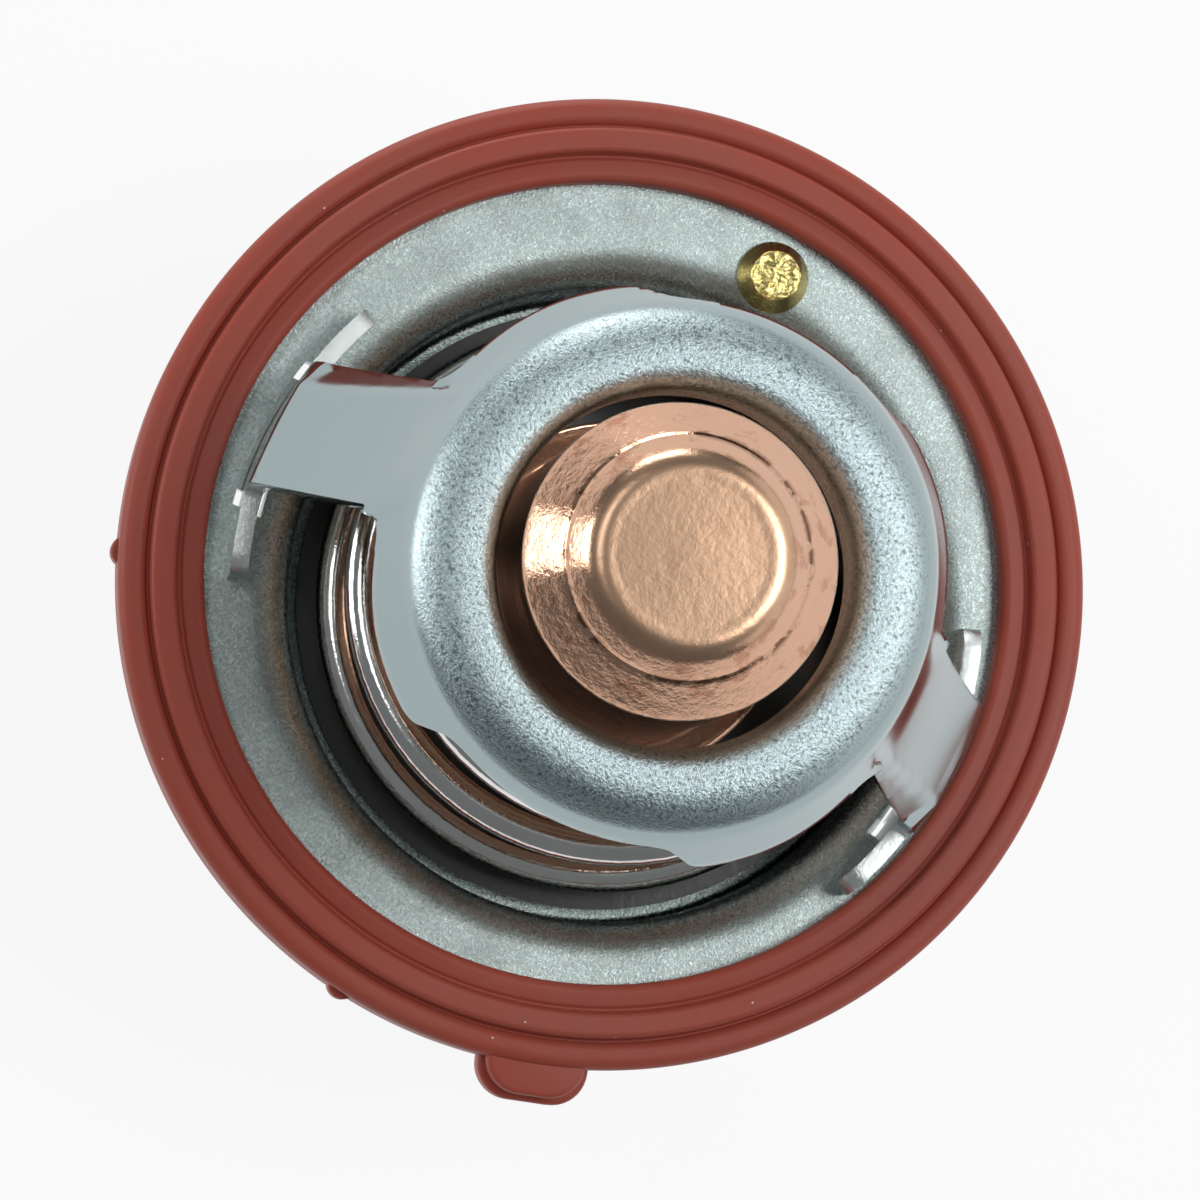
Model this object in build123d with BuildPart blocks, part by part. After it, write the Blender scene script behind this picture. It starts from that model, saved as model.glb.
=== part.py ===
from build123d import *
from math import cos, hypot, pi, radians, sin
import os

# Engine coolant thermostat: wax capsule, valve, conical spring, two frames and rim seal.
#
# The origin is the centre of the flange sheet, on the axis of the wax capsule.
# +Z points to the engine side, where the copper capsule stands in its lower frame.
# -Z is the radiator side, where the bridge holds the end of the steel rod.
# The two legs of the lower frame lie on the X axis and the jiggle pin on +Y.
# All sizes are in millimetres.

# inside radius of the sharpest bends in any of the sheet parts
tight_bend = 0.05

# ---- rubber seal gripped round the flange rim --------------------------------
seal_radius = 28.0
seal_front_lip_reach = 4.9
seal_back_lip_reach = 4.1
seal_bead_width = 1.7
seal_band_width = 1.7
seal_front_lip_radius = seal_radius - seal_front_lip_reach
seal_back_lip_radius = seal_radius - seal_back_lip_reach
seal_band_outer = seal_radius - seal_bead_width
seal_band_inner = seal_band_outer - seal_band_width
seal_band_height = 2.7
seal_bead_height = 2.1
seal_lip_height = 2.2
seal_lip_round = 0.6
seal_lip_lean = 0.2
seal_band_draft = 0.25
seal_groove_depth = 0.8
seal_groove_play = 0.1
seal_shift_x = -0.75
seal_shift_y = 0.8
seal_tab_width = 5.7
seal_tab_reach = 2.1
seal_tab_angle = -71.5
seal_tab_top = 1.7
seal_tab_corner = 2.05
seal_tab_root = 1.0
seal_nib_angles = (-96.2, -156.3)
seal_nib_radius = 0.9
seal_nib_reach = 0.4

# ---- flange: a stamped disc with a drawn throat and the valve seat -----------
flange_rim_cover = 2.8
flange_radius = seal_radius - flange_rim_cover
flange_sheet = 1.2
foot_lip_gap = 1.9
foot_throat_gap = 2.8
foot_radius = seal_front_lip_radius - foot_lip_gap
throat_radius = foot_radius - foot_throat_gap
throat_depth = 7.2
throat_shoulder = 2.4
throat_corner = 0.4
seat_ledge = 2.8
seat_hole_radius = throat_radius - seat_ledge

# ---- wax capsule -------------------------------------------------------------
capsule_radius = 8.5
capsule_wall = 0.8
capsule_top = 31.3
capsule_cone_height = 4.1
capsule_cone_width = 3.3
capsule_end_radius = capsule_radius - capsule_cone_width
collar_width = 1.7
collar_radius = capsule_radius + collar_width
collar_bottom = -1.6
guide_flange = 1.6
guide_shank_radius = 4.6
guide_length = 11.0
guide_nose_chamfer = 0.5
guide_nose_length = 0.8
sleeve_radius = 3.6
sleeve_length = 17.0
sleeve_flange = 1.2
backup_radius = 3.3
backup_height = 1.0
rod_seal_radius = 3.2
rod_seal_height = 2.2
seal_washer_height = 0.7
seal_washer_play = 0.3
rod_radius = 1.9
rod_clearance = 0.05
rod_tip_gap = 0.3
rod_tip_chamfer = 0.8
rod_tip_length = 1.2
wax_gap = 0.05
cup_fit = 0.05
cup_neck_bend = 0.3
cup_cone_bend = 1.0
cup_end_bend = 1.2

# ---- valve -------------------------------------------------------------------
valve_throat_gap = 0.8
valve_radius = throat_radius - valve_throat_gap
valve_sheet = 1.0
valve_seal_height = 0.9
valve_seal_margin = 0.3
valve_seal_inset = 0.1
valve_land_inset = 1.2
valve_land_radius = seat_hole_radius - valve_land_inset
hub_width = 1.1
hub_radius = capsule_radius + hub_width
hub_clearance = 0.05
hub_step = 0.4
retainer_width = 2.0
retainer_height = 1.1

# ---- lower frame: spring seat ring, two legs, feet and tongues ---------------
frame_sheet = 1.0
ring_capsule_gap = 1.1
ring_hole_radius = capsule_radius + ring_capsule_gap
ring_top = 25.0
ring_lip_depth = 3.2
ring_width = 3.8
ring_shoulder_radius = ring_hole_radius + ring_width
ring_inner_bend = 1.3
ring_outer_bend = 2.2
wide_skirt_depth = 5.2
short_skirt_depth = 2.7
wide_skirt_half_angle = 57.0
leg_width = 7.8
leg_root_fillet = 1.6
foot_height = 6.4
foot_bend = 0.7
wing_height = 3.2
wing_half_width = 8.4
wing_corner = 1.3
tongue_width = 7.2
tongue_clearance = 0.1
tongue_reach = 0.7
slot_length = 9.3
slot_play = 0.35
frame_shift = 0.3

# ---- conical return spring ---------------------------------------------------
spring_wire = 2.0
spring_foot_inset = 2.7
spring_foot_radius = throat_radius - spring_foot_inset
spring_head_inset = 2.2
spring_head_radius = ring_hole_radius + spring_head_inset
spring_turns = 2.9
spring_closed_turns = 0.85
spring_seat_gap = 0.05
spring_coil_gap = 0.15
spring_corners_per_turn = 12
spring_straight_share = 0.1

# ---- bridge and rod on the radiator side -------------------------------------
bridge_sheet = 1.2
bridge_width = 9.4
bridge_foot_length = 1.9
bridge_foot_inset = 0.4
bridge_foot_inner = seat_hole_radius + bridge_foot_inset
bridge_crown_radius = 6.4
bridge_height = 13.0
bridge_bend = 1.6
nest_radius = 3.6
nest_depth = 3.4
nest_floor = 1.0
nest_corner = 0.8
weld_radius = 0.9
weld_depth = 0.25
weld_spacing = 5.0

# ---- jiggle pin that lets air past the flange --------------------------------
jiggle_radius = foot_radius
jiggle_head_radius = 2.1
jiggle_tip_radius = 1.35
jiggle_head_height = 1.5
jiggle_stem_radius = 0.7
jiggle_hole_radius = 0.95
jiggle_travel = 1.2
jiggle_play = 0.5
jiggle_weight_radius = 1.3
jiggle_weight_height = 3.0
jiggle_rivet_height = 0.4
jiggle_rivet_face = 0.15
jiggle_rivet_spread = 0.3
jiggle_head_edge = 0.2

# ---- levels and sizes that follow from the ones above ------------------------
flange_face = flange_sheet / 2
seat_face = flange_face - throat_depth
valve_bottom = seat_face + valve_seal_height
valve_top = valve_bottom + valve_sheet
seal_shift = hypot(seal_shift_x, seal_shift_y)
seal_groove_radius = flange_radius + seal_shift + seal_groove_play
bore_radius = rod_radius + rod_clearance

os.makedirs("parts", exist_ok=True)


def save(piece, name):
    """Label a finished piece and write its STEP file."""
    piece.label = name
    export_step(piece, f"parts/{name}.step")


def sheet_profile(points, bends, thickness):
    """Section of a bent sheet: its centreline with one bend radius per corner."""
    with BuildSketch(Plane.XZ) as section:
        with BuildLine():
            path = FilletPolyline(*points, radius=bends)
        trace(path, line_width=thickness)
    return section.sketch


# ---- flange ------------------------------------------------------------------
wall_middle = throat_radius + flange_sheet / 2
floor_middle = seat_face - flange_sheet / 2
flange_section = sheet_profile(
    [
        (flange_radius, 0),
        (wall_middle, 0),
        (wall_middle, floor_middle),
        (seat_hole_radius, floor_middle),
    ],
    [throat_shoulder - flange_sheet / 2, throat_corner + flange_sheet / 2],
    flange_sheet,
)
foot_inner = foot_radius - frame_sheet / 2
foot_outer = foot_radius + frame_sheet / 2
slot_inner = foot_inner - slot_play
slot_outer = foot_outer + slot_play

with BuildPart() as flange:
    add(flange_section)
    revolve(axis=Axis.Z)
    # arc slots for the tongues of the lower frame
    with BuildSketch(Plane.XY.offset(-flange_sheet)):
        Circle(slot_outer)
        Circle(slot_inner, mode=Mode.SUBTRACT)
        Rectangle(3 * slot_outer, slot_length, mode=Mode.INTERSECT)
    extrude(amount=2 * flange_sheet, mode=Mode.SUBTRACT)
    # hole for the jiggle pin
    with Locations((0, jiggle_radius, 0)):
        Cylinder(jiggle_hole_radius, 4 * flange_sheet, mode=Mode.SUBTRACT)
save(flange.part, "flange")

# ---- rubber seal -------------------------------------------------------------
lip_middle = (seal_front_lip_radius + seal_band_inner) / 2
bead_middle = (seal_band_outer + seal_radius) / 2
band_root = seal_band_height - seal_groove_depth
tab_length = seal_tab_root + seal_tab_reach

with BuildPart() as seal_ring:
    with BuildSketch(Plane.XZ):
        with BuildLine():
            # engine side: lip, groove, flat band, groove, outer bead
            Polyline(
                (seal_groove_radius, flange_face),
                (seal_front_lip_radius, flange_face),
                (seal_front_lip_radius, seal_lip_height - seal_lip_round),
            )
            ThreePointArc(
                (seal_front_lip_radius, seal_lip_height - seal_lip_round),
                (lip_middle - seal_lip_lean, seal_lip_height),
                (seal_band_inner, band_root),
            )
            Polyline(
                (seal_band_inner, band_root),
                (seal_band_inner + seal_band_draft, seal_band_height),
                (seal_band_outer - seal_band_draft, seal_band_height),
                (seal_band_outer, seal_bead_height - seal_groove_depth),
            )
            ThreePointArc(
                (seal_band_outer, seal_bead_height - seal_groove_depth),
                (bead_middle, seal_bead_height),
                (seal_radius, seal_bead_height - seal_groove_depth),
            )
            # outer wall and the radiator side, with a shorter inner lip
            Line(
                (seal_radius, seal_bead_height - seal_groove_depth),
                (seal_radius, seal_groove_depth - seal_bead_height),
            )
            ThreePointArc(
                (seal_radius, seal_groove_depth - seal_bead_height),
                (bead_middle, -seal_bead_height),
                (seal_band_outer, seal_groove_depth - seal_bead_height),
            )
            Polyline(
                (seal_band_outer, seal_groove_depth - seal_bead_height),
                (seal_band_outer - seal_band_draft, -seal_band_height),
                (seal_band_inner + seal_band_draft, -seal_band_height),
                (seal_band_inner, -band_root),
                (seal_back_lip_radius, -band_root),
                (seal_back_lip_radius, -flange_face),
                (seal_groove_radius, -flange_face),
                (seal_groove_radius, flange_face),
            )
        make_face()
    revolve(axis=Axis.Z)
    # moulding tab
    with BuildSketch(Plane.XY.offset(-seal_tab_top)):
        with PolarLocations(seal_radius - seal_tab_root, 1, start_angle=seal_tab_angle):
            with Locations((tab_length / 2, 0)):
                Rectangle(tab_length, seal_tab_width)
        outer_corners = [v for v in vertices() if hypot(v.X, v.Y) > seal_radius]
        fillet(outer_corners, seal_tab_corner)
    extrude(amount=2 * seal_tab_top)
    # small nibs left by the mould
    for angle in seal_nib_angles:
        nib_x = (seal_radius + seal_nib_reach - seal_nib_radius) * cos(radians(angle))
        nib_y = (seal_radius + seal_nib_reach - seal_nib_radius) * sin(radians(angle))
        with Locations((nib_x, nib_y, 0)):
            Cylinder(seal_nib_radius, seal_bead_height)
seal_piece = seal_ring.part.moved(Location((seal_shift_x, seal_shift_y, 0)))
save(seal_piece, "seal_ring")

# ---- lower frame -------------------------------------------------------------
crest_middle = ring_top - frame_sheet / 2
lip_wall = ring_hole_radius + frame_sheet / 2
bend_level = flange_face + foot_height
wing_top = flange_face + wing_height
skirt_slope = (foot_radius - ring_shoulder_radius) / (crest_middle - bend_level)
tongue_level = -flange_face - tongue_clearance - frame_sheet / 2
frame_section = sheet_profile(
    [
        (lip_wall, ring_top - ring_lip_depth),
        (lip_wall, crest_middle),
        (ring_shoulder_radius, crest_middle),
        (foot_radius, bend_level),
        (foot_radius, tongue_level),
        (foot_outer + tongue_reach, tongue_level),
    ],
    [
        ring_inner_bend - frame_sheet / 2,
        ring_outer_bend - frame_sheet / 2,
        foot_bend,
        frame_sheet / 2 + tight_bend,
    ],
    frame_sheet,
)
skirt_level = ring_top - wide_skirt_depth
short_skirt_level = ring_top - short_skirt_depth
skirt_edge_radius = ring_shoulder_radius + skirt_slope * (crest_middle - skirt_level)
skirt_half_width = skirt_edge_radius * sin(radians(wide_skirt_half_angle))
far = 2 * foot_radius
leg_half = leg_width / 2
tongue_half = tongue_width / 2

with BuildPart() as lower_frame:
    add(frame_section)
    revolve(axis=Axis.Z)
    # the sheet left out beside each leg, foot and tongue, seen along X
    with BuildSketch(Plane.YZ) as window:
        with BuildLine():
            Polyline(
                (leg_half, wing_top),
                (leg_half, skirt_level),
                (skirt_half_width, skirt_level),
                (skirt_half_width, short_skirt_level),
                (far, short_skirt_level),
                (far, -far),
                (tongue_half, -far),
                (tongue_half, flange_face),
                (wing_half_width, flange_face),
                (wing_half_width, wing_top),
                (leg_half, wing_top),
            )
        make_face()
        root = vertices().sort_by_distance((leg_half, skirt_level))[0]
        fillet(root, leg_root_fillet)
        wing_tip = vertices().sort_by_distance((wing_half_width, wing_top))[0]
        fillet(wing_tip, wing_corner)
        mirror(about=Plane.YZ)
    extrude(amount=far, both=True, mode=Mode.SUBTRACT)
frame_piece = lower_frame.part.moved(Location((frame_shift, 0, 0)))
save(frame_piece, "lower_frame")

# ---- bridge ------------------------------------------------------------------
foot_middle = seat_face - flange_sheet - bridge_sheet / 2
crown_middle = foot_middle - bridge_height
bridge_foot_outer = bridge_foot_inner + bridge_foot_length
nest_bottom = crown_middle - bridge_sheet / 2 - nest_depth
rod_bottom = nest_bottom + nest_floor

with BuildPart() as bridge:
    # one bent strip from foot to foot
    with BuildSketch(Plane.XZ):
        with BuildLine():
            strip = FilletPolyline(
                (-bridge_foot_outer, foot_middle),
                (-bridge_foot_inner, foot_middle),
                (-bridge_crown_radius, crown_middle),
                (bridge_crown_radius, crown_middle),
                (bridge_foot_inner, foot_middle),
                (bridge_foot_outer, foot_middle),
                radius=bridge_bend,
            )
        trace(strip, line_width=bridge_sheet)
    extrude(amount=bridge_width / 2, both=True)
    # drawn nest that holds the end of the rod
    with BuildSketch(Plane.XY.offset(nest_bottom)):
        Circle(nest_radius)
    extrude(amount=nest_depth + bridge_sheet / 2)
    nest_edges = edges().filter_by(GeomType.CIRCLE).group_by(Axis.Z)[0]
    fillet(nest_edges, nest_corner)
    with BuildSketch(Plane.XY.offset(rod_bottom)):
        Circle(rod_radius)
    extrude(amount=nest_depth + 2 * bridge_sheet, mode=Mode.SUBTRACT)
    # two spot welds in each foot
    with BuildSketch(Plane.XY.offset(foot_middle - bridge_sheet / 2)):
        with GridLocations(bridge_foot_inner + bridge_foot_outer, weld_spacing, 2, 2):
            Circle(weld_radius)
    extrude(amount=weld_depth, mode=Mode.SUBTRACT)
save(bridge.part, "bridge")

# ---- wax capsule: rod, guide, copper cup and what they hold ------------------
guide_top = collar_bottom + capsule_wall + guide_flange
sleeve_flange_top = guide_top + sleeve_flange
collar_top = sleeve_flange_top + capsule_wall
guide_bottom = collar_bottom - guide_length
sleeve_bottom = guide_top
sleeve_top = sleeve_bottom + sleeve_length
sleeve_bore_top = sleeve_top - (sleeve_radius - bore_radius)
rod_top = sleeve_bore_top - rod_tip_gap
cup_inner = capsule_radius - capsule_wall
collar_inner = collar_radius - capsule_wall - cup_fit
cone_start = capsule_top - capsule_cone_height
seal_pocket_top = guide_bottom + seal_washer_height + rod_seal_height
lip_radius = hub_radius - hub_step


def turned(outline):
    """Solid of revolution about the Z axis from its outline in radius and height."""
    with BuildPart() as blank:
        with BuildSketch(Plane.XZ):
            with BuildLine():
                Polyline(*outline, close=True)
            make_face()
        revolve(axis=Axis.Z)
    return blank.part


def ring(inner, outer, bottom, top):
    """Plain turned or moulded ring."""
    return turned([(inner, bottom), (outer, bottom), (outer, top), (inner, top)])


rod = turned(
    [
        (0, rod_bottom),
        (rod_radius, rod_bottom),
        (rod_radius, rod_top - rod_tip_length),
        (rod_radius - rod_tip_chamfer, rod_top),
        (0, rod_top),
    ]
)
save(rod, "rod")

guide = turned(
    [
        (bore_radius, seal_pocket_top),
        (rod_seal_radius, seal_pocket_top),
        (rod_seal_radius, guide_bottom),
        (guide_shank_radius - guide_nose_chamfer, guide_bottom),
        (guide_shank_radius, guide_bottom + guide_nose_length),
        (guide_shank_radius, collar_bottom),
        (lip_radius, collar_bottom),
        (lip_radius, collar_bottom + capsule_wall),
        (collar_inner, collar_bottom + capsule_wall),
        (collar_inner, guide_top),
        (backup_radius, guide_top),
        (backup_radius, guide_top - backup_height),
        (bore_radius, guide_top - backup_height),
    ]
)
save(guide, "guide")

# drawn copper cup, rolled over the flange of the guide
half_wall = capsule_wall / 2
cup_section = sheet_profile(
    [
        (lip_radius, collar_bottom + half_wall),
        (collar_radius - half_wall, collar_bottom + half_wall),
        (collar_radius - half_wall, collar_top - half_wall),
        (capsule_radius - half_wall, collar_top - half_wall),
        (capsule_radius - half_wall, cone_start),
        (capsule_end_radius - half_wall, capsule_top - half_wall),
        (0, capsule_top - half_wall),
    ],
    [
        half_wall + tight_bend,
        half_wall + tight_bend,
        half_wall + cup_neck_bend,
        cup_cone_bend,
        cup_end_bend,
    ],
    capsule_wall,
)
with BuildPart() as capsule_cup:
    add(cup_section)
    revolve(axis=Axis.Z)
save(capsule_cup.part, "capsule_cup")

# closed rubber sleeve over the rod, with a flange clamped under the cup
with BuildPart() as rubber_sleeve:
    with BuildSketch(Plane.XZ):
        with BuildLine():
            Polyline(
                (bore_radius, guide_top),
                (collar_inner, guide_top),
                (collar_inner, sleeve_flange_top),
                (sleeve_radius, sleeve_flange_top),
                (sleeve_radius, sleeve_top - sleeve_radius),
            )
            RadiusArc(
                (sleeve_radius, sleeve_top - sleeve_radius),
                (0, sleeve_top),
                -sleeve_radius,
            )
            Polyline(
                (0, sleeve_top),
                (0, sleeve_bore_top),
                (bore_radius, sleeve_bore_top),
                (bore_radius, guide_top),
            )
        make_face()
    revolve(axis=Axis.Z)
save(rubber_sleeve.part, "rubber_sleeve")

# wax filling round and above the sleeve
wax_radius = cup_inner - wax_gap
wax_sleeve = sleeve_radius + wax_gap
with BuildPart() as wax_charge:
    with BuildSketch(Plane.XZ):
        with BuildLine():
            Polyline(
                (wax_sleeve, sleeve_flange_top),
                (wax_radius, sleeve_flange_top),
                (wax_radius, cone_start - capsule_wall),
                (capsule_end_radius - capsule_wall, capsule_top - capsule_wall - wax_gap),
                (0, capsule_top - capsule_wall - wax_gap),
                (0, sleeve_top + wax_gap),
            )
            RadiusArc(
                (0, sleeve_top + wax_gap),
                (wax_sleeve, sleeve_top - sleeve_radius),
                wax_sleeve,
            )
            Line((wax_sleeve, sleeve_top - sleeve_radius), (wax_sleeve, sleeve_flange_top))
        make_face()
    revolve(axis=Axis.Z)
save(wax_charge.part, "wax_charge")

backup_ring = ring(bore_radius, backup_radius, guide_top - backup_height, guide_top)
save(backup_ring, "backup_ring")

washer_top = guide_bottom + seal_washer_height
rod_seal = ring(bore_radius, rod_seal_radius, washer_top, seal_pocket_top)
save(rod_seal, "rod_seal")

seal_washer = ring(bore_radius + seal_washer_play, rod_seal_radius, guide_bottom, washer_top)
save(seal_washer, "seal_washer")

# ---- valve -------------------------------------------------------------------
valve_middle = valve_bottom + valve_sheet / 2
hub_middle = collar_bottom - valve_sheet / 2
valve_section = sheet_profile(
    [
        (valve_radius, valve_middle),
        (valve_land_radius, valve_middle),
        (hub_radius, hub_middle),
        (guide_shank_radius + hub_clearance, hub_middle),
    ],
    [valve_sheet, valve_sheet],
    valve_sheet,
)
with BuildPart() as valve_disc:
    add(valve_section)
    revolve(axis=Axis.Z)
save(valve_disc.part, "valve_disc")

valve_seal = ring(
    seat_hole_radius + valve_seal_margin,
    valve_radius - valve_seal_inset,
    seat_face,
    valve_bottom,
)
save(valve_seal, "valve_seal")

retainer_top = hub_middle - valve_sheet / 2
valve_retainer = ring(
    guide_shank_radius,
    guide_shank_radius + retainer_width,
    retainer_top - retainer_height,
    retainer_top,
)
save(valve_retainer, "valve_retainer")

# ---- return spring -----------------------------------------------------------
wire_radius = spring_wire / 2
spring_low = valve_top + spring_seat_gap + wire_radius
spring_high = ring_top - frame_sheet - spring_seat_gap - wire_radius
closed_pitch = spring_wire + spring_coil_gap
closed_rise = closed_pitch * spring_closed_turns
active_rise = spring_high - spring_low - 2 * closed_rise
all_turns = spring_turns + 2 * spring_closed_turns
corner_count = round(all_turns * spring_corners_per_turn)
corner_turn = all_turns / corner_count
corner_reach = 1 / cos(pi * corner_turn)


def spring_radius(turn):
    """Coil radius after so many turns from the valve end."""
    active = min(max((turn - spring_closed_turns) / spring_turns, 0), 1)
    return spring_foot_radius + (spring_head_radius - spring_foot_radius) * active


def spring_point(turn, reach):
    """Point beside the wire's centreline, at reach times the coil radius."""
    active = min(max((turn - spring_closed_turns) / spring_turns, 0), 1)
    closed = turn - active * spring_turns
    radius = spring_radius(turn) * reach
    height = spring_low + closed_pitch * closed + active_rise * active
    angle = 2 * pi * turn
    return (radius * cos(angle) + frame_shift * active, radius * sin(angle), height)


# the wire runs through short tangent arcs, one for each corner of a rising polygon
corner_turns = [(i + 0.5) * corner_turn for i in range(corner_count)]
with BuildPart() as return_spring:
    with BuildLine():
        coil = FilletPolyline(
            spring_point(0, 1),
            *[spring_point(turn, corner_reach) for turn in corner_turns],
            spring_point(all_turns, 1),
            radius=[(1 - spring_straight_share) * spring_radius(turn) for turn in corner_turns],
        )
    with BuildSketch(Plane(origin=coil @ 0, z_dir=coil % 0)):
        Circle(wire_radius)
    sweep()
save(return_spring.part, "return_spring")

# ---- jiggle pin --------------------------------------------------------------
# the play keeps the lifted weight clear of the curved shoulder of the throat
weight_top = -flange_face - jiggle_travel - jiggle_play
weight_bottom = weight_top - jiggle_weight_height
rivet_bottom = weight_bottom - jiggle_rivet_height
pin_place = Location((0, jiggle_radius, 0))

jiggle_pin = turned(
    [
        (0, rivet_bottom),
        (jiggle_stem_radius + jiggle_rivet_face, rivet_bottom),
        (jiggle_stem_radius + jiggle_rivet_spread, weight_bottom),
        (jiggle_stem_radius, weight_bottom),
        (jiggle_stem_radius, flange_face),
        (jiggle_head_radius, flange_face),
        (jiggle_head_radius, flange_face + jiggle_head_edge),
        (jiggle_tip_radius, flange_face + jiggle_head_height),
        (0, flange_face + jiggle_head_height),
    ]
)
save(jiggle_pin.moved(pin_place), "jiggle_pin")

jiggle_weight = ring(jiggle_stem_radius, jiggle_weight_radius, weight_bottom, weight_top)
save(jiggle_weight.moved(pin_place), "jiggle_weight")
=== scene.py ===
import math
import bmesh
import bpy
from mathutils import Matrix, Vector, noise


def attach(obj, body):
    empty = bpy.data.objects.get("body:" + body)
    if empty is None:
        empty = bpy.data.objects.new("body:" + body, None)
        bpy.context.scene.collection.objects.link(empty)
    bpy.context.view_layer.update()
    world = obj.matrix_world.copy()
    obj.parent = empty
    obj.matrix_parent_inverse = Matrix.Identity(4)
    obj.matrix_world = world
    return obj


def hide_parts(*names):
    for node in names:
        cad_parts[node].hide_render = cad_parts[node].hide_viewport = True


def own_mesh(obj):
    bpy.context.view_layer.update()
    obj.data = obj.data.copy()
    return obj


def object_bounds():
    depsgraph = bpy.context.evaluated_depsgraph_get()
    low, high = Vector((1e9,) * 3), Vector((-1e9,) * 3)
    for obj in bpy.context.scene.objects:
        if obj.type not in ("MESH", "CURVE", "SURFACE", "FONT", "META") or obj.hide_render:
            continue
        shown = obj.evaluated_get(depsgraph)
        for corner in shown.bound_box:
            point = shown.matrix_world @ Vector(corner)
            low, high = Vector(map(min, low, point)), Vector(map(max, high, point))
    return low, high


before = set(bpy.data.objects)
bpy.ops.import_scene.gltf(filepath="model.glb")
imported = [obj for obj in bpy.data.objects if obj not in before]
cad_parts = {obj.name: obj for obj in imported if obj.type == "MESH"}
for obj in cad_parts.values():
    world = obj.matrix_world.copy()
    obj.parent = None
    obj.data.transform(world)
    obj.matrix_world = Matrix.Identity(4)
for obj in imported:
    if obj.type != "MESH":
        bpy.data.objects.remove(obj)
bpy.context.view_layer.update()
mm = 0.001

# ------------------------------------------------------------------------------
# Sizes of the visible pieces, in millimetres
# ------------------------------------------------------------------------------
flange_radius = 25.2
flange_sheet = 1.2
throat_radius = 18.4
throat_depth = 7.2
throat_shoulder = 2.4
throat_corner = 0.4
seat_hole_radius = 15.6

seal_radius = 28.0
seal_front_lip_radius = 23.1
seal_back_lip_radius = 23.9
seal_band_inner = 24.6
seal_band_outer = 26.3
seal_band_height = 2.7
seal_bead_height = 2.1
seal_lip_height = 2.2
seal_groove_level = 1.45
seal_groove_width = 0.25
seal_inner_groove_rise = 0.35
seal_lip_fall = 0.15
seal_band_inner_draft = 0.2
seal_band_outer_draft = 0.15
seal_centre = (-0.75, 0.8)
seal_tab_width = 5.7
seal_tab_reach = 2.1
seal_tab_root = 1.0
seal_tab_corner = 2.05
seal_tab_top = 1.7
seal_tab_step = 0.35
seal_tab_angle = -71.5
seal_nib_angles = (-96.2, -156.3)
seal_nib_radius = 0.9
seal_nib_reach = 0.4
seal_nib_half_height = 0.8

frame_sheet = 1.0
ring_hole_radius = 9.6
ring_top = 25.0
ring_lip_depth = 3.2
ring_shoulder_radius = 13.4
ring_inner_bend = 1.4
ring_outer_bend = 3.3
wide_skirt_depth = 5.2
short_skirt_depth = 2.7
wide_skirt_half_angle = 57.0
leg_width = 7.8
leg_root_fillet = 1.6
leg_flat_half = 2.6
leg_roll_low = 2.2
leg_roll_high = 3.0
leg_roll_slope = 0.55
leg_bow = 0.4
leg_flat_below_bend = 1.5
leg_flat_above_bend = 1.0
leg_flat_below_skirt = 1.0
leg_flat_below_top = 2.0
leg_bow_radii = (13.0, 14.5)
leg_bow_reach = 11.0
foot_radius = 21.2
foot_height = 6.4
foot_bend = 0.7
tongue_bend = 0.55
wing_height = 3.2
wing_half_width = 8.4
wing_corner = 1.3
wing_root_fillet = 0.4
skirt_corner = 0.5
tongue_corner = 0.3
tongue_width = 7.2
tongue_clearance = 0.1
tongue_reach = 0.7
slot_length = 9.3
slot_play = 0.35
frame_shift = 0.3
foot_lean = (-0.25, -0.4)

capsule_radius = 8.5
capsule_top = 31.3
capsule_cone_height = 4.1
capsule_end_radius = 5.2
score_radius = 6.5
score_width = 0.16
score_depth = 0.1
collar_radius = 10.2
collar_bottom = -1.6
collar_top = 2.8
hub_lip_radius = 9.2

spring_wire = 2.0
spring_foot_radius = 15.7
spring_head_radius = 11.8
spring_turns = 2.9
spring_closed_turns = 0.85
spring_seat_gap = 0.05
spring_coil_gap = 0.15
spring_steps_per_turn = 72
spring_wire_sides = 24
valve_top = -4.7

pin_radius_place = 21.2
pin_head_radius = 2.1
pin_tip_radius = 1.35
pin_head_height = 1.5
pin_stem_radius = 0.7
pin_hole_radius = 0.95
pin_foot_level = -5.2
pin_tip_sunk = 0.1
pin_tip_rough = 0.16

flange_face = flange_sheet / 2
seat_face = flange_face - throat_depth

# the stage
floor_radius = 4000
floor_pale_radius = 240
floor_grey_radius = 620
floor_gap = 0.2
floor_glow_share = 0.88
room_grey = (0.17, 0.177, 0.182)

# the camera: how far it stands back, how far it leans off the axis and how it is rolled
camera_distance = 330.0
camera_lean = (-0.08935, -0.13524)
camera_roll = math.radians(-27.5)
camera_shift_right = -0.452
camera_shift_up = 0.107
camera_lens = 171.67
camera_sensor = 36

# soft boxes: place to the camera's right, up and back, width and height, brightness
lamps = (
    ("left wall", (-520, 130, 90), (240, 360), 5.5),
    ("top wall", (-60, 520, 30), (260, 300), 5.0),
    ("right wall", (560, 20, 120), (1300, 520), 0.7),
    ("near box", (280, 50, 375), (200, 200), 6.5),
    ("over box", (-110, 140, 425), (220, 110), 3.0),
)

# ------------------------------------------------------------------------------
# Mesh tools
# ------------------------------------------------------------------------------
turn_steps = 300
arc_step = math.radians(9)
least_turn = 1e-4
least_radius = 1e-6
least_side = 1e-9
cut_tolerance = 1e-8
smooth_angle = 38


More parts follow.
